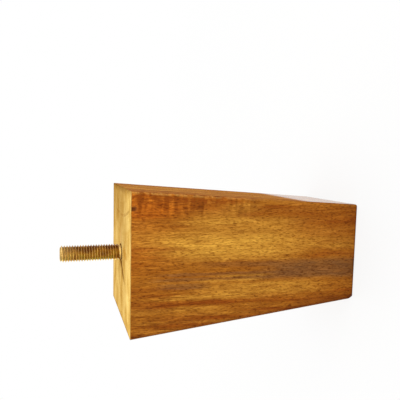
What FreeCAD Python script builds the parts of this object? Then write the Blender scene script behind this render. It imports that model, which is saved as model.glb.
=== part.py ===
"""Tapered square furniture leg with a hanger bolt, upright in its own frame, in millimetres.

The origin is the centre of the sole, and +Z runs up the leg and out along the stud. The leg is a
solid block of beech, square in section and tapering evenly on all four sides. A hanger bolt stands
out of its upper end: a coarse wood thread and point below, a plain neck, and a machine thread above.
"""

import FreeCAD, Part
import math
import os

# Wooden block
legHeight = 119.0
topWidth = 65.0  # across the mounting face, which is square
footWidth = 50.0  # across the sole, also square
arrisRadius = 0.8  # the four long edges, eased with sandpaper
soleEase = 0.7  # radius round the sole
rimEase = 0.3  # radius round the mounting face, sawn nearly sharp
overcut = 1.0  # how far each pair of sloping cuts runs past the block's other two sides

# Bruised corner of the sole, where the leg has been knocked
bruiseAcross = 1.6  # reach along each side of the sole
bruiseUp = 2.5  # reach up the long edge

# Hanger bolt, M8 x 60 mm, with 1.25 mm pitch above and a coarse wood thread below
studDiameter = 8.0  # over the crests of the machine thread
studReach = 29.0  # tip above the mounting face
studTipBevel = 0.8
studStartBevel = 0.4
neckDiameter = 7.1  # the rolled blank, left plain
neckAbove = 0.7  # plain length that shows above the mounting face
neckBelow = 4.0  # plain length inside the block
woodThreadLength = 27.0  # from the end of the neck to the point, for 60 mm in all
woodThreadPitch = 3.6
woodThreadDiameter = 7.95
woodRootDiameter = 5.6
woodRidgeTip = 0.35  # width of the ridge at its crest
ridgeFlankAngle = 30.0  # each flank from square to the axis
ridgeRunOut = 3.0  # length over which the ridge rises to its full height
ridgeSink = 0.2  # how far the ridge's foot is sunk into the core, so that the two join
pointAngle = 24.0  # half angle of the point

# Pilot hole
mouthClearance = 0.2  # round the stud's crests, at the mouth
threadClearance = 0.03  # between the wood and the thread that has cut into it
pilotRunOut = 1.5  # drilled past the point

axisUp = FreeCAD.Vector(0, 0, 1)


def sawnTaper(footHalf, topHalf):
    """A solid that two sloping cuts leave between them, wide enough along Y for the other two."""
    reach = max(footHalf, topHalf) + overcut
    profile = [(-footHalf, 0), (footHalf, 0), (topHalf, legHeight), (-topHalf, legHeight)]
    points = [FreeCAD.Vector(x, -reach, height) for x, height in profile]
    face = Part.Face(Part.makePolygon(points + points[:1]))
    return face.extrude(FreeCAD.Vector(0, 2 * reach, 0))


def turned(profile):
    """The solid turned about the Z axis from (radius, height) points, both ends on the axis."""
    points = [FreeCAD.Vector(radius, 0, height) for radius, height in profile]
    face = Part.Face(Part.makePolygon(points + points[:1]))
    return face.revolve(FreeCAD.Vector(0, 0, 0), axisUp, 360)


def edgesAt(solid, height):
    """The edges that lie level at one height."""
    return [e for e in solid.Edges if all(abs(v.Z - height) < 1e-6 for v in e.Vertexes)]


def taperedBlock():
    """The square taper, its long edges rounded first and the edges of its two ends after."""
    oneWay = sawnTaper(footWidth / 2, topWidth / 2)
    otherWay = oneWay.copy()
    otherWay.rotate(FreeCAD.Vector(0, 0, 0), axisUp, 90)
    block = oneWay.common(otherWay).Solids[0]
    ends = edgesAt(block, 0) + edgesAt(block, legHeight)
    arrises = [e for e in block.Edges if not any(e.isSame(other) for other in ends)]
    block = block.makeFillet(arrisRadius, arrises)
    block = block.makeFillet(soleEase, edgesAt(block, 0))
    return block.makeFillet(rimEase, edgesAt(block, legHeight))


def bruise():
    """A slanting wedge that takes off the knocked corner of the sole, at -X and -Y."""
    corner = FreeCAD.Vector(-footWidth / 2, -footWidth / 2, 0)
    outside = corner + FreeCAD.Vector(-bruiseAcross, -bruiseAcross, -bruiseUp)
    alongX = corner + FreeCAD.Vector(bruiseAcross, 0, 0)
    alongY = corner + FreeCAD.Vector(0, bruiseAcross, 0)
    up = corner + FreeCAD.Vector(0, 0, bruiseUp)
    sides = [(alongX, alongY, up), (outside, alongX, up), (outside, up, alongY), (outside, alongY, alongX)]
    faces = [Part.Face(Part.makePolygon([a, b, c, a])) for a, b, c in sides]
    return Part.makeSolid(Part.makeShell(faces))


def woodThread(neckEnd, grow):
    """The coarse thread and its point below neckEnd, or with grow the space that it cuts in wood."""
    root = woodRootDiameter / 2 + grow
    slope = math.tan(math.radians(pointAngle))
    tip = neckEnd - woodThreadLength - grow / slope
    pointTop = tip + root / slope
    core = turned([(0, tip), (root, pointTop), (root, neckEnd), (0, neckEnd)])
    return core.fuse(helicalRidge(root, pointTop, neckEnd, grow))


def helicalRidge(root, bottom, top, grow):
    """A ridge of trapezium section wound round the core, which rises out of it at both ends."""
    foot = root - ridgeSink
    crest = woodThreadDiameter / 2 + grow
    halfCrest = woodRidgeTip / 2 + grow
    halfFoot = halfCrest + (crest - foot) * math.tan(math.radians(ridgeFlankAngle))
    section = [
        FreeCAD.Vector(foot, 0, bottom - halfFoot),
        FreeCAD.Vector(crest, 0, bottom - halfCrest),
        FreeCAD.Vector(crest, 0, bottom + halfCrest),
        FreeCAD.Vector(foot, 0, bottom + halfFoot),
    ]
    path = Part.makeHelix(woodThreadPitch, top - bottom, root)
    path.translate(FreeCAD.Vector(0, 0, bottom))
    wound = Part.Wire(path).makePipeShell([Part.makePolygon(section + section[:1])], True, True)
    clear = crest + ridgeSink
    runOut = [(foot, bottom), (clear, bottom + ridgeRunOut), (clear, top - ridgeRunOut), (foot, top)]
    return wound.common(turned([(0, bottom)] + runOut + [(0, top)]))


def hangerBolt():
    """The bolt from its point in the wood to the bevelled tip of the stud."""
    neckEnd = legHeight - neckBelow
    studStart = legHeight + neckAbove
    tip = legHeight + studReach
    stud = studDiameter / 2
    neck = neckDiameter / 2
    upper = turned(
        [
            (0, neckEnd),
            (neck, neckEnd),
            (neck, studStart),
            (stud, studStart + studStartBevel),
            (stud, tip - studTipBevel),
            (stud - studTipBevel, tip),
            (0, tip),
        ]
    )
    return upper.fuse(woodThread(neckEnd, 0)).removeSplitter()


def pilotHole():
    """The hole for the bolt: a clear mouth, the space of the cut thread, and the drill's end."""
    neckEnd = legHeight - neckBelow
    mouth = studDiameter / 2 + mouthClearance
    opening = Part.makeCylinder(mouth, neckBelow, FreeCAD.Vector(0, 0, neckEnd))
    drill = woodRootDiameter / 2 + threadClearance
    depth = woodThreadLength + pilotRunOut
    drilled = Part.makeCylinder(drill, depth, FreeCAD.Vector(0, 0, neckEnd - depth))
    return opening.fuse(drilled).fuse(woodThread(neckEnd, threadClearance))


def export(node, shape):
    """Write one sub-part under its node's name, and print what was written."""
    shape.exportStep(f"parts/{node}.step")
    box = shape.BoundBox
    print(f"{node}: {len(shape.Solids)} solid, {shape.Volume:.0f} mm3, valid {shape.isValid()},", box)


os.makedirs("parts", exist_ok=True)
export("leg_block", taperedBlock().cut(bruise()).cut(pilotHole()))
export("hanger_bolt", hangerBolt())
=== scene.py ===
import math
import bpy
from mathutils import Matrix, Vector


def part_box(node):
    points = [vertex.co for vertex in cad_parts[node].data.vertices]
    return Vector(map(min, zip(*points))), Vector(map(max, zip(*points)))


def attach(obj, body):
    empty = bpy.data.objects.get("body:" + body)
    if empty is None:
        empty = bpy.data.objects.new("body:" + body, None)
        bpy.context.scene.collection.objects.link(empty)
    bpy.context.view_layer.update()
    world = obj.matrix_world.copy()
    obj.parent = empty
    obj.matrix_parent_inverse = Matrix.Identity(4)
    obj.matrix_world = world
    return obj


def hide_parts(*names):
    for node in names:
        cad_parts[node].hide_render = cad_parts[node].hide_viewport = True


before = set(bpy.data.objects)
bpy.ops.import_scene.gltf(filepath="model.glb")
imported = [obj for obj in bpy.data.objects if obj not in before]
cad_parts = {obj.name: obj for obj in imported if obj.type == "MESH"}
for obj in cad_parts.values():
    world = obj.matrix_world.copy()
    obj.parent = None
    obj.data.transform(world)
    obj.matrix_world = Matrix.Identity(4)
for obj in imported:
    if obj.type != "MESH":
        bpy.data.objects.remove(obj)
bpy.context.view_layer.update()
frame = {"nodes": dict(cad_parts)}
print("frame loaded:", ", ".join(frame["nodes"]))

mm = 0.001
white = (1.0, 1.0, 1.0, 1.0)


class Wire:
    # one output socket, on which sums add their own Math nodes
    def __init__(self, sheet, socket):
        self.sheet = sheet
        self.socket = socket

    def out(self, name):
        return Wire(self.sheet, self.socket.node.outputs[name])

    def maths(self, operation, *given):
        return self.sheet.add("ShaderNodeMath", {"operation": operation}, dict(enumerate(given)))

    def __add__(self, other):
        return self.maths("ADD", self, other)

    def __sub__(self, other):
        return self.maths("SUBTRACT", self, other)

    def __mul__(self, other):
        return self.maths("MULTIPLY", self, other)

    def __truediv__(self, other):
        return self.maths("DIVIDE", self, other)

    def __pow__(self, other):
        return self.maths("POWER", self, other)

    def __radd__(self, other):
        return self.maths("ADD", other, self)

    def __rsub__(self, other):
        return self.maths("SUBTRACT", other, self)

    def __rmul__(self, other):
        return self.maths("MULTIPLY", other, self)

    def __rtruediv__(self, other):
        return self.maths("DIVIDE", other, self)

    def __rpow__(self, other):
        return self.maths("POWER", other, self)

    def __neg__(self):
        return self.maths("MULTIPLY", self, -1.0)

    def __abs__(self):
        return self.maths("ABSOLUTE", self)

    def least(self, other):
        return self.maths("MINIMUM", self, other)

    def most(self, other):
        return self.maths("MAXIMUM", self, other)

    def within(self, low, high):
        return self.most(low).least(high)

    def rises(self, low, high):  # 0 at low, 1 at high, eased between them and level beyond
        sockets = {"Value": self, "From Min": low, "From Max": high}
        return self.sheet.add("ShaderNodeMapRange", {"interpolation_type": "SMOOTHSTEP"}, sockets)

    def near(self, centre, reach, soft):  # 1 within reach of centre, eased to 0 over soft
        return 1.0 - abs(self - centre).rises(reach, reach + soft)


def distance(x, y):  # from the origin to two wires laid square to each other
    return (x * x + y * y) ** 0.5


class Sheet:
    # a node tree that is being drawn up
    def __init__(self, tree):
        self.tree = tree

    def add(self, kind, settings=None, sockets=None, out=0):
        node = self.tree.nodes.new(kind)
        for name, setting in (settings or {}).items():
            if name == "stops":
                self.fillRamp(node.color_ramp, setting)
            else:
                setattr(node, name, setting)
        for name, given in (sockets or {}).items():
            if isinstance(given, Wire):
                self.tree.links.new(given.socket, node.inputs[name])
            else:
                node.inputs[name].default_value = given
        return Wire(self, node.outputs[out]) if node.outputs else node

    def fillRamp(self, ramp, stops):
        while len(ramp.elements) < len(stops):
            ramp.elements.new(1.0)
        for element, (place, colour) in zip(ramp.elements, stops):
            element.position = place
            element.color = colour

    def ramp(self, fac, *stops):
        return self.add("ShaderNodeValToRGB", {"stops": stops}, {"Fac": fac})

    def vector(self, x, y, z):
        return self.add("ShaderNodeCombineXYZ", {}, {0: x, 1: y, 2: z})

    def parts(self, vector):
        first = self.add("ShaderNodeSeparateXYZ", {}, {0: vector})
        return first, first.out("Y"), first.out("Z")

    def noise(self, place, grain, detail=2.0, roughness=0.5, shift=0.0):
        # grain is the size of the mottle along X, Y and Z, and the result runs from 0 to 1 about 0.5
        stretch = [1 / size for size in grain]
        sockets = {0: place, 1: stretch, 2: (shift, shift, shift)}
        moved = self.add("ShaderNodeVectorMath", {"operation": "MULTIPLY_ADD"}, sockets)
        sockets = {"Vector": moved, "Scale": 1.0, "Detail": detail, "Roughness": roughness}
        return self.add("ShaderNodeTexNoise", {}, sockets)

    def blend(self, amount, colour, other):
        return self.add("ShaderNodeMix", {"data_type": "RGBA"}, {0: amount, 6: colour, 7: other}, out=2)

    def deepen(self, colour, depth):  # a deeper stain takes more of the green and blue than of the red
        left = self.vector(0.5 ** depth, 0.5 ** (depth * 1.3), 0.5 ** (depth * 1.7))
        return self.add("ShaderNodeVectorMath", {"operation": "MULTIPLY"}, {0: colour, 1: left})


def linear(red, green, blue):  # a colour as seen, 0 to 255, to the light that it sends back
    shares = [channel / 255 for channel in (red, green, blue)]
    return tuple(s / 12.92 if s <= 0.04045 else ((s + 0.055) / 1.055) ** 2.4 for s in shares) + (1.0,)


def palette(seen):
    return {name: linear(*shade) for name, shade in seen.items()}


class Finish(Sheet):
    # a material round one Principled shader
    def __init__(self, name, fixed):
        self.material = bpy.data.materials.new(name)
        self.material.use_nodes = True
        super().__init__(self.material.node_tree)
        self.shader = self.tree.nodes["Principled BSDF"]
        for socket, value in fixed.items():
            self.shader.inputs[socket].default_value = value
        place = self.add("ShaderNodeTexCoord", out="Object")
        self.place = self.add("ShaderNodeVectorMath", {"operation": "SCALE"}, {0: place, "Scale": 1 / mm})
        self.x, self.y, self.z = self.parts(self.place)  # millimetres

    def lead(self, wire, socket):
        self.tree.links.new(wire.socket, self.shader.inputs[socket])

    def bump(self, height, depth):  # height from 0 to 1, depth in millimetres
        sockets = {"Height": height, "Distance": depth * mm, "Strength": 1.0}
        self.lead(self.add("ShaderNodeBump", {}, sockets), "Normal")


# Sizes that both pieces share, in millimetres, from the frame where it gives them
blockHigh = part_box("leg_block")[1]
boltLow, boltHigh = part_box("hanger_bolt")
legHeight = blockHigh[2] / mm
topHalf = blockHigh[0] / mm
footHalf = 25.0
studTip = boltHigh[2] / mm
studRadius = boltHigh[0] / mm
neckRadius = 3.55
neckAbove = 0.7
neckBelow = 4.0
woodCrest = 3.95  # radius over the wood thread


def newBuild(name, sizes, counts):
    # a Geometry Nodes tree with one named input for each size and each count
    tree = bpy.data.node_groups.new(name, "GeometryNodeTree")
    for labels, kind in ((sizes, "NodeSocketFloat"), (counts, "NodeSocketInt")):
        for label in labels:
            tree.interface.new_socket(label, in_out="INPUT", socket_type=kind)
    tree.interface.new_socket("Mesh", in_out="OUTPUT", socket_type="NodeSocketGeometry")
    sheet = Sheet(tree)
    given = sheet.add("NodeGroupInput")
    return sheet, {label: given.out(label) for label in (*sizes, *counts)}


def closeBuild(sheet, mesh, material, crispAngle):
    # eased faces, crisp edges only where the surface really turns, and the finish
    mesh = sheet.add("GeometryNodeSetShadeSmooth", {}, {"Geometry": mesh, "Shade Smooth": True})
    angle = sheet.add("GeometryNodeInputMeshEdgeAngle")
    crisp = angle.maths("GREATER_THAN", angle, crispAngle)
    sockets = {"Geometry": mesh, "Selection": crisp, "Shade Smooth": False}
    mesh = sheet.add("GeometryNodeSetShadeSmooth", {"domain": "EDGE"}, sockets)
    mesh = sheet.add("GeometryNodeRealizeInstances", {}, {"Geometry": mesh})
    mesh = sheet.add("GeometryNodeSetMaterial", {}, {"Geometry": mesh, "Material": material})
    sheet.add("NodeGroupOutput", {}, {0: mesh})


def finishedPiece(name, tree, values, node):
    # runs a Geometry Nodes tree on an empty mesh and keeps the result as a plain one
    holder = bpy.data.objects.new(name + "Holder", bpy.data.meshes.new(name + "Holder"))
    bpy.context.collection.objects.link(holder)
    nodes = holder.modifiers.new("build", "NODES")
    nodes.node_group = tree
    for item in tree.interface.items_tree:
        if item.item_type == "SOCKET" and item.in_out == "INPUT":
            nodes[item.identifier] = values[item.name]
    ready = holder.evaluated_get(bpy.context.evaluated_depsgraph_get())
    piece = bpy.data.objects.new(name, bpy.data.meshes.new_from_object(ready))
    bpy.context.collection.objects.link(piece)
    holder.modifiers.remove(nodes)
    bpy.data.objects.remove(holder)
    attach(piece, "root")
    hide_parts(node)
    print(name, "built with", len(piece.data.polygons), "faces")


# Wooden block. Lengths are in metres and the crisp angle is in radians.
blockSizes = {
    "Height": legHeight * mm,
    "Top half": topHalf * mm,
    "Foot half": footHalf * mm,
    "Arris": 0.8 * mm,
    "Rim": 0.3 * mm,
    "Sole edge": 0.7 * mm,
    "Bruise across": 1.7 * mm,
    "Bruise up": 2.6 * mm,
    "Tear": 0.25 * mm,
    "Tear reach": 1.6 * mm,
    "Chip": 0.45 * mm,
    "Chip drop": 3.0 * mm,
    "Mouth": (studRadius + 0.2) * mm,
    "Mouth depth": neckBelow * mm,
    "Drill": (woodCrest + 0.05) * mm,
    "Drill depth": 32.5 * mm,
    "Cutter past": 2.0 * mm,
    "Crisp angle": 0.6,
}
blockCounts = {"Across": 44, "Along": 110, "Round": 64}
chipAt = 25.1  # X of the small chip at the mounting edge of the near side


def buildBlock(material):
    sheet, size = newBuild("taperedBlock", blockSizes, blockCounts)
    cube = sheet.add("GeometryNodeMeshCube", {}, {
        "Size": (2, 2, 2),
        "Vertices X": size["Across"],
        "Vertices Y": size["Across"],
        "Vertices Z": size["Along"],
    })
    u, v, w = sheet.parts(sheet.add("GeometryNodeInputPosition"))

    def crowded(c):  # rows of points drawn towards the edges
        return c.maths("SIGN", c) * (1.0 - (1.0 - abs(c)) ** 2.0)

    def onSide(c):  # 1 for points that lie on the cube's two sides across c
        return c.maths("LESS_THAN", abs(abs(c) - 1.0), 0.0001)

    def inset(fromEnd, radius):  # how far a rounded end edge has drawn in
        reach = (radius - fromEnd).within(0.0, 1.0)
        return radius - (radius * radius - reach * reach).most(0.0) ** 0.5

    # the taper, with its rounded ends and long edges
    z = (crowded(w) + 1.0) * 0.5 * size["Height"]
    half = size["Foot half"] + (size["Top half"] - size["Foot half"]) * z / size["Height"]
    reach = half - (inset(z, size["Sole edge"]) + inset(size["Height"] - z, size["Rim"]))
    x = crowded(u) * reach
    y = crowded(v) * reach
    core = reach - size["Arris"]
    coreX = x.most(-core).least(core)
    coreY = y.most(-core).least(core)
    outX = x - coreX
    outY = y - coreY
    length = distance(outX, outY)
    grow = size["Arris"] / length.most(0.001 * mm)
    wall = length.maths("GREATER_THAN", length, 0.01 * mm) * onSide(u).most(onSide(v))
    x = x + (coreX + outX * grow - x) * wall
    y = y + (coreY + outY * grow - y) * wall

    # torn arris between the near side and the side over it
    place = sheet.vector(x, y, z)
    toArris = (half - x) + (half + y)
    ragged = sheet.noise(place, (3.4 * mm, 3.4 * mm, 1.9 * mm), 3.0, 0.6)
    nearArris = 1.0 - toArris.rises(0.3 * mm, size["Tear reach"])
    tear = (ragged.rises(0.42, 0.75) + 0.35) * size["Tear"] * nearArris
    x = x - tear
    y = y + tear

    # chip at the mounting edge of the near side
    chip = (x - chipAt * mm + 0.6 * mm * (ragged - 0.5)).near(0.0, 1.0 * mm, 1.4 * mm)
    chip = chip * (size["Height"] - z).rises(size["Chip drop"], 0.8 * mm)
    chip = chip * (half + y).rises(1.6 * mm, 0.6 * mm)
    y = y + chip * size["Chip"]

    # bruise that cuts off the knocked corner of the sole
    across = 1.0 / size["Bruise across"]
    up = 1.0 / size["Bruise up"]
    lack = 1.0 - (x + size["Foot half"]) * across - (y + size["Foot half"]) * across - z * up
    push = lack.most(0.0) / (2.0 * across * across + up * up)
    x = x + push * across
    y = y + push * across
    z = z + push * up

    # the hole for the bolt: a clear mouth and the drilled length under it
    sockets = {"Geometry": cube, "Position": sheet.vector(x, y, z)}
    body = sheet.add("GeometryNodeSetPosition", {}, sockets)
    for name in ("Mouth", "Drill"):
        depth = size[f"{name} depth"]
        tall = depth + size["Cutter past"]
        sockets = {"Vertices": size["Round"], "Radius": size[name], "Depth": tall}
        cutter = sheet.add("GeometryNodeMeshCylinder", {}, sockets)
        lift = sheet.vector(0.0, 0.0, size["Height"] - depth + tall * 0.5)
        cutter = sheet.add("GeometryNodeTransform", {}, {"Geometry": cutter, "Translation": lift})
        sockets = {"Mesh 1": body, "Mesh 2": cutter}
        body = sheet.add("GeometryNodeMeshBoolean", {"operation": "DIFFERENCE"}, sockets)
    closeBuild(sheet, body, material, size["Crisp angle"])
    return sheet.tree


# Colours of the stained and of the raw wood, as seen in even light
stain = {
    "golden": (204, 146, 52),
    "honey": (178, 113, 36),
    "brown": (158, 93, 22),
    "umber": (119, 77, 41),
    "russet": (139, 67, 12),
    "rust": (186, 92, 14),
    # pale of the worn arrises, also a painted highlight on the upper arris
    "wornAndHighlit": (218, 162, 80),
    # dark of the chip and the bruise, also painted shade along the sole's edge and the low arris
    "bruisedAndShaded": (82, 36, 8),
}
rawWood = {
    "pale": (234, 196, 114),
    "mid": (208, 162, 78),
    "late": (160, 108, 42),
    "glue": (196, 138, 44),
    "crack": (84, 50, 20),
    "wedge": (255, 215, 139),
}

# Size of each mottle of the wood along X, Y and Z, in millimetres
mottles = {
    "slow": (29.0, 29.0, 77.0),
    "wavy": (4.2, 4.2, 13.0),
    "fibre": (0.6, 0.6, 9.0),
    "lines": (0.75, 0.75, 24.0),
    "fleck": (0.3, 0.3, 2.1),
    "patch": (2.2, 2.2, 5.5),
    "ragged": (1.4, 1.4, 2.2),
    "pores": (0.3, 0.3, 0.3),
    "cloud": (13.0, 8.0, 8.0),
}
heart = (100.0, 1.0)  # the tree's heart lay past the +X side, so the rings cross the near side edge on

# Streaks of the near side, in millimetres. Each lies at a height across the grain, with its half width
# and soft edge, and runs from one height of the leg to another, fading at both ends.
nearStreaks = [
    # colour, at, half, edge, from, to, fade, amount
    ("golden", 8.4, 2.6, 4.2, 40, 104, 38, 0.85),
    ("golden", 11.0, 2.0, 4.0, 92, 140, 24, 0.4),
    ("golden", 8.4, 1.2, 2.6, -20, 42, 26, 0.36),
    ("golden", 3.2, 1.4, 1.4, 40, 92, 30, 0.4),
    ("brown", -3.1, 3.3, 1.3, -20, 104, 30, 0.6),
    ("golden", 20.6, 1.6, 3.0, 62, 94, 18, 0.35),
    ("golden", 16.2, 2.2, 3.0, 38, 92, 22, 0.42),
    ("golden", -11.4, 1.5, 2.2, 26, 84, 36, 0.46),
    ("golden", -14.6, 0.6, 1.0, 60, 108, 24, 0.38),
    ("golden", -7.6, 0.3, 0.7, 54, 86, 14, 0.4),
    ("golden", -5.6, 0.3, 0.6, 52, 78, 14, 0.4),
    ("golden", -20.0, 0.6, 1.4, 74, 140, 20, 0.24),
    ("golden", -22.2, 0.5, 1.0, 46, 84, 16, 0.14),
    ("golden", -25.7, 0.5, 0.9, 56, 120, 18, 0.18),
    ("golden", 25.2, 0.8, 1.8, 58, 76, 12, 0.35),
    ("russet", 26.5, 2.2, 4.4, 70, 140, 28, 0.48),
    ("russet", 21.5, 4.0, 4.0, -20, 38, 22, 0.32),
    ("russet", 24.2, 0.9, 1.4, 32, 54, 12, 0.35),
    ("russet", 14.5, 4.0, 4.0, -20, 20, 18, 0.2),
    ("russet", 7.4, 0.5, 0.9, 98, 140, 16, 0.5),
    ("russet", -10.6, 0.4, 0.9, 88, 140, 16, 0.4),
    ("russet", -13.6, 0.4, 0.8, 100, 140, 16, 0.55),
    ("russet", -16.8, 0.5, 0.8, -20, 140, 20, 0.28),
    ("russet", -19.0, 1.5, 1.6, -20, 30, 26, 0.45),
    ("russet", -24.0, 0.7, 1.0, 46, 106, 18, 0.42),
    ("russet", -27.4, 0.7, 1.0, 70, 108, 16, 0.45),
    ("honey", 2.6, 0.8, 1.6, -20, 18, 18, 0.35),
    ("rust", 13.0, 11.0, 10.0, 104, 140, 26, 0.2),
    ("rust", 27.0, 3.0, 5.4, 94, 140, 36, 0.34),
    ("brown", -9.0, 6.0, 5.0, 108, 140, 18, 0.55),
    ("umber", -3.4, 2.6, 3.2, -20, 50, 44, 0.78),
    ("umber", -4.0, 2.0, 1.6, 26, 46, 14, 0.35),
    ("umber", -0.4, 0.6, 1.2, 44, 84, 20, 0.35),
    ("umber", -4.6, 0.4, 0.6, 40, 106, 14, 0.52),
    ("umber", -6.7, 0.4, 0.6, 46, 108, 14, 0.5),
    ("umber", -9.8, 0.7, 1.1, 84, 106, 10, 0.5),
]

# Marks on the mounting face, as X and Y in millimetres
endMarks = {
    "lateRing": 81.0,  # how far from the heart one growth ring shows darker
    "glueAt": (2.0, -15.0),
    "glueHalf": (3.4, 11.0),
    # the split and the soft painted shadow of the stud that runs down round it
    "splitAndShadowThrough": (-3.4, -0.6),
    "splitAndShadowSlope": 1.3,
    "shadeAt": (-1.6, -1.4),
    "wedgeAt": -0.4,  # Y of the pale wedge and of the darker lines on its two flanks
    "flanksAt": (-2.3, 1.7),
}


def widthAt(z):  # half the block's width at a height, in millimetres
    return footHalf + (topHalf - footHalf) * z / legHeight


def nearSide(wood, colour, height, wavy):
    # the side that faces the photograph's camera
    x, y, z = wood.x, wood.y, wood.z
    alongGrain = wood.vector(height, y, z)
    broad = wood.noise(alongGrain, (4.0, 26.0, 46.0), 2.0, 0.55, 11.0)
    tone = wood.ramp(broad, (0.30, colour["russet"]), (0.48, colour["brown"]), (0.72, colour["honey"]))
    broken = wood.noise(alongGrain, (1.2, 9.0, 17.0), 2.0, 0.6, 23.0).rises(0.34, 0.66) * 0.36 + 0.82
    for name, at, reach, edge, low, high, fade, amount in nearStreaks:
        along = z.rises(low - fade / 2, low + fade / 2)
        along = along * (1.0 - z.rises(high - fade / 2, high + fade / 2))
        band = height.near(at, reach, edge)
        tone = wood.blend(band * along * broken * amount, tone, colour[name])

    # marks of the sander across the grain, where the stain took darker, inside an uneven edge
    chatter = wood.noise(wood.vector(x, y, z + wavy * 1.6), (16.0, 16.0, 2.7), 1.0, 0.5, 5.0)
    uneven = wood.noise(wood.vector(0.0, 0.0, z), (1.0, 1.0, 4.0), 1.0, 0.5, 6.0) - 0.5
    chatterArea = (height + uneven * 11.0).rises(19.0, 26.0) * z.rises(52.0, 68.0)
    depth = (chatter.rises(0.4, 0.6) - 0.36) * chatterArea * 0.72

    # darker towards the sole and the -X side, and painted shade along the low edge near the sole
    depth = depth + (1.0 - z.rises(-8.0, 14.0)) * 0.4 + (-x).rises(10.0, 36.0) * 0.25
    depth = depth + (widthAt(z) + x).rises(5.5, 0.5) * (1.0 - z.rises(15.0, 60.0)) * 0.7
    return wood.deepen(tone, depth + 0.06)


def wornAndHighlitEdges(wood, tone, colour, half):
    # arrises rubbed pale where the stain wore off or the fibres tore, the one over the near side most,
    # which is also a painted highlight
    x, y, z = wood.x, wood.y, wood.z
    ragged = wood.noise(wood.place, mottles["ragged"], 3.0, 0.65, 9.0)
    upperArris = (half - x) + (half + y)
    wornAndHighlit = 1.0 - (upperArris + (ragged - 0.5) * 3.2).rises(0.4, 1.3)
    wornAndHighlit = wornAndHighlit * (0.15 + 0.85 * z.rises(40.0, 84.0)) * (0.3 + 0.7 * ragged.rises(0.4, 0.54))
    tone = wood.blend(wornAndHighlit * 0.85, tone, colour["wornAndHighlit"])
    for arris in ((half + x) + (half + y), (half - x) + (half - y), (half + x) + (half - y)):
        rubbedAndHighlit = (1.0 - (arris + (ragged - 0.5) * 1.4).rises(0.3, 1.0)) * ragged.rises(0.4, 0.6)
        tone = wood.blend(rubbedAndHighlit * 0.45, tone, colour["wornAndHighlit"])
    underArris = upperArris.near(2.5, 0.5, 1.2) * ragged.rises(0.42, 0.54) * z.rises(50.0, 85.0)
    return wood.blend(underArris * 0.75, tone, colour["russet"])


def knocksAndEdgeShade(wood, tone, colour, half, wavy, onNear):
    # the chip at the mounting edge and the bruised corner of the sole, with painted shade along the edge
    # of the sole and the low arris
    x, y, z = wood.x, wood.y, wood.z
    chip = (x + wavy * 3.0).near(chipAt, 0.5, 1.4)
    chip = chip * (z + wavy * 3.0).rises(legHeight - 3.2, legHeight - 1.4)
    tone = wood.blend(chip * onNear * 0.85, tone, colour["bruisedAndShaded"])
    sole = 1.0 - z.rises(0.3, 1.6)
    lowArris = ((half + x) + (half + y)).rises(1.8, 0.5)
    bruise = ((x + footHalf) + (y + footHalf) + z * 0.65).rises(4.4, 1.6)
    return wood.blend((sole * 0.5).most(lowArris * 0.45).most(bruise * 0.8), tone, colour["bruisedAndShaded"])


def endMarked(wood, tone, raw, wavy, ring):
    # a late ring, old glue, a split inside a painted shadow of the stud below it, painted shade round its
    # neck and a pale wedge beside it
    x, y, place = wood.x, wood.y, wood.place
    patchy = wood.noise(place, (5.0, 5.0, 5.0), 1.0, 0.5, 4.0).rises(0.3, 0.55)
    tone = wood.blend(ring.near(endMarks["lateRing"], 0.25, 0.8) * patchy * 0.45, tone, raw["late"])

    (glueX, glueY), (halfX, halfY) = endMarks["glueAt"], endMarks["glueHalf"]
    blot = wood.noise(place, (3.2, 5.0, 5.0), 2.0, 0.6, 14.0)
    fromGlue = distance((x - glueX) / halfX, (y - glueY) / halfY) + (blot - 0.5) * 1.6
    tone = wood.blend((1.0 - fromGlue.rises(0.35, 0.95)) * 0.65, tone, raw["glue"])

    # a soft dark band down from the stud is a painted shadow of it, with a thin split drawn inside
    splitAndShadowX, splitAndShadowY = endMarks["splitAndShadowThrough"]
    fromSplitAndShadow = abs(y - splitAndShadowY - (x - splitAndShadowX) * endMarks["splitAndShadowSlope"] + wavy * 3.0)
    splitAndShadowRun = x.rises(-14.0, -9.0) * (1.0 - x.rises(-4.4, -3.2))
    tone = wood.deepen(tone, (1.0 - fromSplitAndShadow.rises(1.4, 5.0)) * splitAndShadowRun * 0.7)
    tone = wood.blend((1.0 - fromSplitAndShadow.rises(0.6, 2.6)) * splitAndShadowRun * 0.5, tone, raw["crack"])

    shadeX, shadeY = endMarks["shadeAt"]
    fromNeck = distance(x - shadeX, y - shadeY) + wavy * 2.0
    tone = wood.deepen(tone, (1.0 - fromNeck.rises(3.6, 6.4)) * 0.7)

    pastNeck = x.rises(3.0, 4.6)
    wedge = y.near(endMarks["wedgeAt"], 0.3, 1.6) * pastNeck * (1.0 - x.rises(8.0, 15.0))
    tone = wood.blend(wedge * 0.75, tone, raw["wedge"])
    for side in endMarks["flanksAt"]:
        flank = (y + (x - 4.0) * 0.03).near(side, 0.1, 0.6) * pastNeck * (1.0 - x.rises(9.0, 18.0))
        tone = wood.blend(flank * 0.5, tone, raw["late"])
    return tone


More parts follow.
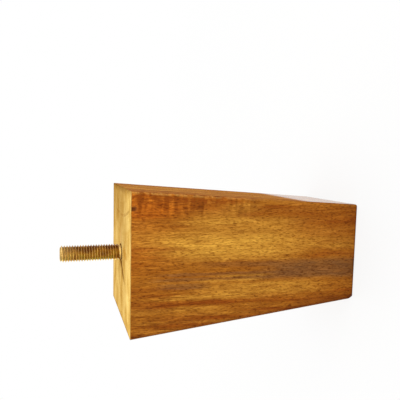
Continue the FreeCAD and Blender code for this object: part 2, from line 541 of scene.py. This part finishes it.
def endGrain(wood, wavy, half, fromHeartX, fromHeartY, ring):
    # the sawn face: faint rings and rays about the heart, cloudy, darker towards the +X side, with
    # painted shade towards the +X and +Y corner
    x, y, place = wood.x, wood.y, wood.place
    raw = palette(rawWood)
    angle = fromHeartY.maths("ARCTAN2", fromHeartY, fromHeartX)
    rings = wood.noise(wood.vector(ring, 0.0, 0.0), (2.4, 1.0, 1.0), 2.0, 0.5, 21.0)
    rays = wood.noise(wood.vector(angle * 100.0, ring, 0.0), (1.3, 15.0, 1.0), 1.0, 0.5, 8.0)
    cloud = wood.noise(place, mottles["cloud"], 2.0, 0.5, 2.0)
    light = 0.54 + (rings - 0.5) * 0.12 + (rays - 0.5) * 0.2 + (cloud - 0.5) * 0.45
    tone = wood.ramp(light, (0.34, raw["late"]), (0.48, raw["mid"]), (0.62, raw["pale"]))
    pores = wood.noise(place, mottles["pores"], 2.0, 0.5, 13.0)
    depth = (pores - 0.5) * 1.3 + x.rises(-14.0, 30.0) * 0.1
    # painted shade in the corner towards +X and +Y, and lighter towards -Y
    depth = depth + x.rises(2.0, 26.0) * y.rises(-20.0, 0.0) * 0.36 - (-y).rises(13.0, 29.0) * 0.32
    tone = endMarked(wood, wood.deepen(tone, depth), raw, wavy, ring)

    # stain that crept over the sawn edge, and painted shade along the +X side
    toEdge = (half - abs(x)).least(half - abs(y)) + wavy * 1.6
    crept = (1.0 - toEdge.rises(0.1, 1.3)) * 0.9
    topEdgeShade = (half - x).rises(3.6, 0.4) * cloud.rises(0.3, 0.5) * 0.7
    return wood.deepen(tone, crept.most(topEdgeShade))


def woodFinish():
    wood = Finish("stainedBeech", {"Specular IOR Level": 0.0, "Coat Roughness": 0.2, "Coat IOR": 1.8})
    x, y, z, place = wood.x, wood.y, wood.z, wood.place
    half = widthAt(z)
    colour = palette(stain)

    # the run of the grain, which fans out a little towards the foot, and its fibres
    slow = wood.noise(place, mottles["slow"], 1.0) - 0.5
    wavy = wood.noise(place, mottles["wavy"], 2.0, 0.55) - 0.5
    fan = (legHeight - z) * (0.03 - 0.00118 * x)
    grain = wood.vector(x + fan + wavy * 0.9, y + wavy * 0.9, z)
    fibre = wood.noise(grain, mottles["fibre"], 3.0, 0.6, 3.0)
    lines = wood.noise(grain, mottles["lines"], 2.0, 0.6, 31.0)
    fleck = wood.noise(grain, mottles["fleck"], 2.0, 0.55, 7.0)
    patch = wood.noise(place, mottles["patch"], 2.0, 0.5, 17.0)

    # growth rings about the heart, which leaned a little
    fromHeartX = heart[0] - x + slow * 6.0
    fromHeartY = y - heart[1] + slow * 6.0
    ring = distance(fromHeartX, fromHeartY) + wavy * 1.6
    leaned = ring + z * 0.07 + fibre
    ringBand = wood.noise(wood.vector(leaned, slow * 17.0, 0.0), (2.9, 7.0, 1.0), 2.0, 0.6)
    tone = wood.ramp(
        ringBand + wavy * 0.25,
        (0.28, colour["russet"]),
        (0.42, colour["brown"]),
        (0.58, colour["honey"]),
        (0.78, colour["golden"]),
    )

    # the near side over them, the fibres and dark flecks in both, and the wear, with a painted highlight
    # on the upper arris and painted shade along the low edges
    onNear = (half + y).rises(3.0, 0.8)
    height = x + fan + slow * 1.5 + wavy * 1.0 + (fibre - 0.5) * 1.6
    tone = wood.blend(onNear, tone, nearSide(wood, colour, height, wavy))
    lineDepth = 0.8 + z.rises(66.0, 112.0) * 1.2 + (-x).rises(8.0, 17.0) * 0.7
    depth = (0.5 - fibre) * 1.2 + (lines - 0.5) * lineDepth
    depth = depth + (fleck.rises(0.47, 0.77) - 0.14) * 1.45 + (patch - 0.5) * 0.35
    tone = wornAndHighlitEdges(wood, wood.deepen(tone, depth), colour, half)
    tone = knocksAndEdgeShade(wood, tone, colour, half, wavy, onNear)

    # raw end grain on the mounting face and in the hole
    inHole = (1.0 - distance(x, y).rises(4.4, 4.7)) * z.rises(85.0, 86.0)
    isRaw = z.rises(legHeight - 0.3, legHeight - 0.12).most(inHole)
    tone = wood.blend(isRaw, tone, endGrain(wood, wavy, half, fromHeartX, fromHeartY, ring))
    wood.lead(tone, "Base Color")
    wood.lead((0.42 + (fibre - 0.5) * 0.2 + isRaw * 0.4).least(0.9), "Roughness")

    # a thin lacquer, thicker low on the +X side, where it shows at a glancing angle
    glancing = wood.add("ShaderNodeLayerWeight", {}, {"Blend": 0.5}, out="Facing").rises(0.72, 0.92)
    pooled = (half - x).rises(1.2, 0.4) * (1.0 - z.rises(25.0, 36.0)) * glancing
    wood.lead((1.0 - isRaw) * (0.05 + pooled), "Coat Weight")
    wood.bump(fibre * 0.7 + fleck * 0.3, 0.05)
    return wood.material


# Hanger bolt. Shares are of one pitch: flat root, one flank, flat crest. The rod leaves its start radius
# past the plain length, and its radius fades in from there and out again to the end radius.
machineThread = {
    "Pitch": 1.25 * mm,
    "Crest radius": studRadius * mm,
    "Root radius": 3.3 * mm,
    "Root share": 0.25,
    "Flank share": 0.3125,
    "Crest share": 0.125,
    "Start": (legHeight - neckBelow) * mm,
    "Start radius": neckRadius * mm,
    "Plain": (neckBelow + neckAbove) * mm,
    "Start fade": 0.8 * mm,
    "End": boltHigh[2],
    "End radius": (studRadius - 0.8) * mm,
    "End fade": 0.8 * mm,
    "Start cap": neckRadius * mm,
    "End cap": 0.0,
}
woodThread = {
    "Pitch": 3.6 * mm,
    "Crest radius": woodCrest * mm,
    "Root radius": 2.8 * mm,
    "Root share": 0.42,
    "Flank share": 0.24,
    "Crest share": 0.10,
    "Start": boltLow[2],
    "Start radius": 0.02 * mm,
    "Plain": 0.0,
    "Start fade": 6.3 * mm,
    "End": (legHeight - neckBelow) * mm,
    "End radius": 2.8 * mm,
    "End fade": 3.0 * mm,
    "Start cap": 0.0,
    "End cap": neckRadius * mm,
}
boltSizes = {"Weld": 0.005 * mm, "Crisp angle": 0.9}
for part, thread in (("Machine", machineThread), ("Wood", woodThread)):
    boltSizes.update({f"{part} {name}": value for name, value in thread.items()})
boltCounts = {"Turns": 30, "Facets": 48}
turnRows = 4.0  # rows of points in one turn: two at the root and two on the crest
leadIn = 2.0  # turns that begin below the rod and fold into its lower cap


def threadedRod(sheet, size):
    # a sheared grid rolled into one closed skin: each row climbs one pitch in its turn, so the seam meets
    rows = size["Turns"] * turnRows
    grid = sheet.add("GeometryNodeMeshGrid", {}, {
        "Size X": 1.0,
        "Size Y": 1.0,
        "Vertices X": size["Facets"] + 1.0,
        "Vertices Y": rows + 1.0,
    })
    across, up = sheet.parts(sheet.add("GeometryNodeInputPosition"))[:2]
    around = across + 0.5
    row = (up + 0.5) * rows
    row = row.maths("ROUND", row)
    turn = row.maths("FLOOR", row / turnRows + 0.01)
    step = row - turn * turnRows
    climb = turn
    for before, share in enumerate(("Root share", "Flank share", "Crest share")):
        climb = climb + (step - before).within(0.0, 1.0) * size[share]
    height = size["Start"] + (climb + around - leadIn) * size["Pitch"]
    z = height.most(size["Start"]).least(size["End"])
    onCrest = step.maths("GREATER_THAN", step, 1.5)
    radius = size["Root radius"] + (size["Crest radius"] - size["Root radius"]) * onCrest
    enter = ((z - size["Start"] - size["Plain"]) / size["Start fade"]).within(0.0, 1.0)
    radius = size["Start radius"] + (radius - size["Start radius"]) * enter
    leave = ((size["End"] - z) / size["End fade"]).within(0.0, 1.0)
    radius = size["End radius"] + (radius - size["End radius"]) * leave
    for past, cap in ((size["Start"] - height, "Start cap"), (height - size["End"], "End cap")):
        radius = radius + (size[cap] - radius) * (past / (size["Pitch"] * 0.5)).within(0.0, 1.0)
    angle = around * math.tau
    x = angle.maths("COSINE", angle) * radius
    y = angle.maths("SINE", angle) * radius
    return sheet.add("GeometryNodeSetPosition", {}, {"Geometry": grid, "Position": sheet.vector(x, y, z)})


def buildBolt(material):
    sheet, size = newBuild("hangerBolt", boltSizes, boltCounts)
    joined = sheet.add("GeometryNodeJoinGeometry")
    for part in ("Machine", "Wood"):
        own = {name: size[f"{part} {name}"] for name in machineThread}
        rod = threadedRod(sheet, {**own, "Turns": size["Turns"], "Facets": size["Facets"]})
        sheet.tree.links.new(rod.socket, joined.socket.node.inputs[0])
    sockets = {"Geometry": joined, "Distance": size["Weld"]}
    merged = sheet.add("GeometryNodeMergeByDistance", {}, sockets)
    closeBuild(sheet, merged, material, size["Crisp angle"])
    return sheet.tree


zinc = {
    "gold": (200, 147, 48),
    "olive": (200, 172, 62),
    "brown": (140, 80, 28),
    # the pale colour serves the tip and the painted highlights, the darkest one the painted shade
    "bright": (238, 206, 128),
    "paintedShade": (74, 46, 14),
}


def zincFinish():
    plate = Finish("yellowZinc", {"Metallic": 1.0})
    x, y, place = plate.x, plate.y, plate.place
    height = plate.z
    colour = palette(zinc)
    # a mottle of olive, gold and brown, browner towards +X and more olive towards -X as a painted
    # reflection
    drift = plate.noise(place, (3.4, 3.4, 5.0), 2.0, 0.5, 4.0) + x.within(-3.0, 2.6) * 0.07
    tone = plate.ramp(drift, (0.32, colour["olive"]), (0.5, colour["gold"]), (0.7, colour["brown"]))

    # paler towards the tip, painted highlight on the crests and at the neck, painted shade in the roots
    # and against the wood
    radius = distance(x, y)
    inRoot = (1.0 - radius.rises(3.3, 3.6)) * height.rises(legHeight + 0.9, legHeight + 1.5)
    rubbedAndHighlit = (height.rises(studTip - 10.0, studTip) * 0.7).most(radius.rises(3.7, 3.95) * 0.4)
    tone = plate.blend(rubbedAndHighlit, tone, colour["bright"])
    atNeck = 1.0 - height.rises(legHeight + 0.9, legHeight + 1.4)
    tone = plate.blend(atNeck * 0.6, tone, colour["bright"])
    atWood = 1.0 - height.rises(legHeight + 0.05, legHeight + 0.4)
    tone = plate.blend((inRoot * 0.45).most(atWood * 0.85), tone, colour["paintedShade"])
    plate.lead(tone, "Base Color")
    rub = plate.noise(place, (0.5, 0.5, 0.5), 3.0, 0.6, 6.0)
    plate.lead(0.26 + rub * 0.24 + inRoot * 0.15, "Roughness")
    plate.bump(rub, 0.015)
    return plate.material


# Stage: a white floor under the sole, soft panels round the leg and the photograph's view
stage = {
    "floorHalf": 40.0,
    "floorColour": (0.9, 0.9, 0.885, 1.0),
    "floorShade": 0.09,  # how much of the shadow the camera sees
    "floorFade": (0.15, 0.5),  # from here out the floor turns plain white
    "soleShade": 0.05,  # and how much more close round the sole
    "soleFade": (0.03, 0.08),
    "roomLight": 0.5,
}
panels = [
    {"name": "overPanel", "at": (0.55, -0.35, 0.45), "size": 0.7, "watts": 2.2},
    {"name": "frontPanel", "at": (-0.15, -0.85, 0.35), "size": 0.8, "watts": 2.0},
    {"name": "skyPanel", "at": (0.05, 0.10, 0.95), "size": 0.8, "watts": 3.0},
    {"name": "backPanel", "at": (-0.45, 0.65, 0.40), "size": 0.8, "watts": 2.4},
]
view = {
    "from": (0.046206, -0.215535, 0.146892),
    "towards": (-0.0910, 0.9488, -0.3023),
    "up": (0.9956, 0.0934, -0.0065),
    "focalPixels": 436.3,
    "imagePixels": 400,
}


def seenRays(sheet):
    # 1 for what the camera sees, straight or in a mirror-like or clear surface
    rays = sheet.add("ShaderNodeLightPath")
    return rays.out("Is Camera Ray").most(rays.out("Is Glossy Ray")).most(rays.out("Is Transmission Ray"))


def layFloor():
    reach = stage["floorHalf"]
    mesh = bpy.data.meshes.new("paleFloor")
    corners = [(-reach, -reach, 0), (reach, -reach, 0), (reach, reach, 0), (-reach, reach, 0)]
    mesh.from_pydata(corners, [], [(0, 1, 2, 3)])
    floor = bpy.data.objects.new("paleFloor", mesh)
    bpy.context.collection.objects.link(floor)
    material = bpy.data.materials.new("whiteFloor")
    material.use_nodes = True
    material.node_tree.nodes.clear()
    sheet = Sheet(material.node_tree)
    away = distance(*sheet.parts(sheet.add("ShaderNodeTexCoord", out="Object"))[:2])
    shade = stage["floorShade"] * (1.0 - away.rises(*stage["floorFade"]))
    shade = shade + stage["soleShade"] * (1.0 - away.rises(*stage["soleFade"]))
    plain = sheet.add("ShaderNodeBsdfDiffuse", {}, {"Color": stage["floorColour"]})
    glow = sheet.add("ShaderNodeEmission", {}, {"Color": white, "Strength": 1.0})
    share = seenRays(sheet) * (1.0 - shade)
    whole = sheet.add("ShaderNodeMixShader", {}, {0: share, 1: plain, 2: glow})
    sheet.add("ShaderNodeOutputMaterial", {}, {"Surface": whole})
    mesh.materials.append(material)


def lightRoom():
    world = bpy.data.worlds.new("whiteRoom")
    world.use_nodes = True
    world.node_tree.nodes.clear()
    bpy.context.scene.world = world
    sheet = Sheet(world.node_tree)
    dim = sheet.add("ShaderNodeBackground", {}, {"Color": white, "Strength": stage["roomLight"]})
    full = sheet.add("ShaderNodeBackground", {}, {"Color": white, "Strength": 1.0})
    whole = sheet.add("ShaderNodeMixShader", {}, {0: seenRays(sheet), 1: dim, 2: full})
    sheet.add("ShaderNodeOutputWorld", {}, {"Surface": whole})
    middle = Vector((0.0, 0.0, legHeight * mm / 2))
    for panel in panels:
        lamp = bpy.data.lights.new(panel["name"], "AREA")
        lamp.size = panel["size"]
        lamp.energy = panel["watts"]
        light = bpy.data.objects.new(panel["name"], lamp)
        light.location = panel["at"]
        light.rotation_euler = (middle - light.location).to_track_quat("-Z", "Y").to_euler()
        bpy.context.collection.objects.link(light)


def setCamera():
    camera = bpy.data.cameras.new("photoView")
    camera.sensor_width = 36.0
    camera.lens = camera.sensor_width * view["focalPixels"] / view["imagePixels"]
    camera.clip_start = 0.01
    back = -Vector(view["towards"]).normalized()
    right = Vector(view["up"]).cross(back).normalized()
    up = back.cross(right)
    holder = bpy.data.objects.new("photoView", camera)
    turned = Matrix((right, up, back)).transposed().to_4x4()
    holder.matrix_world = Matrix.Translation(view["from"]) @ turned
    bpy.context.collection.objects.link(holder)
    bpy.context.scene.camera = holder


blockValues = {**blockSizes, **blockCounts}
finishedPiece("woodenBlock", buildBlock(woodFinish()), blockValues, "leg_block")
boltValues = {**boltSizes, **boltCounts}
finishedPiece("hangerBolt", buildBolt(zincFinish()), boltValues, "hanger_bolt")
layFloor()
lightRoom()
setCamera()
bpy.context.scene.view_settings.view_transform = "Standard"
print("stage set")
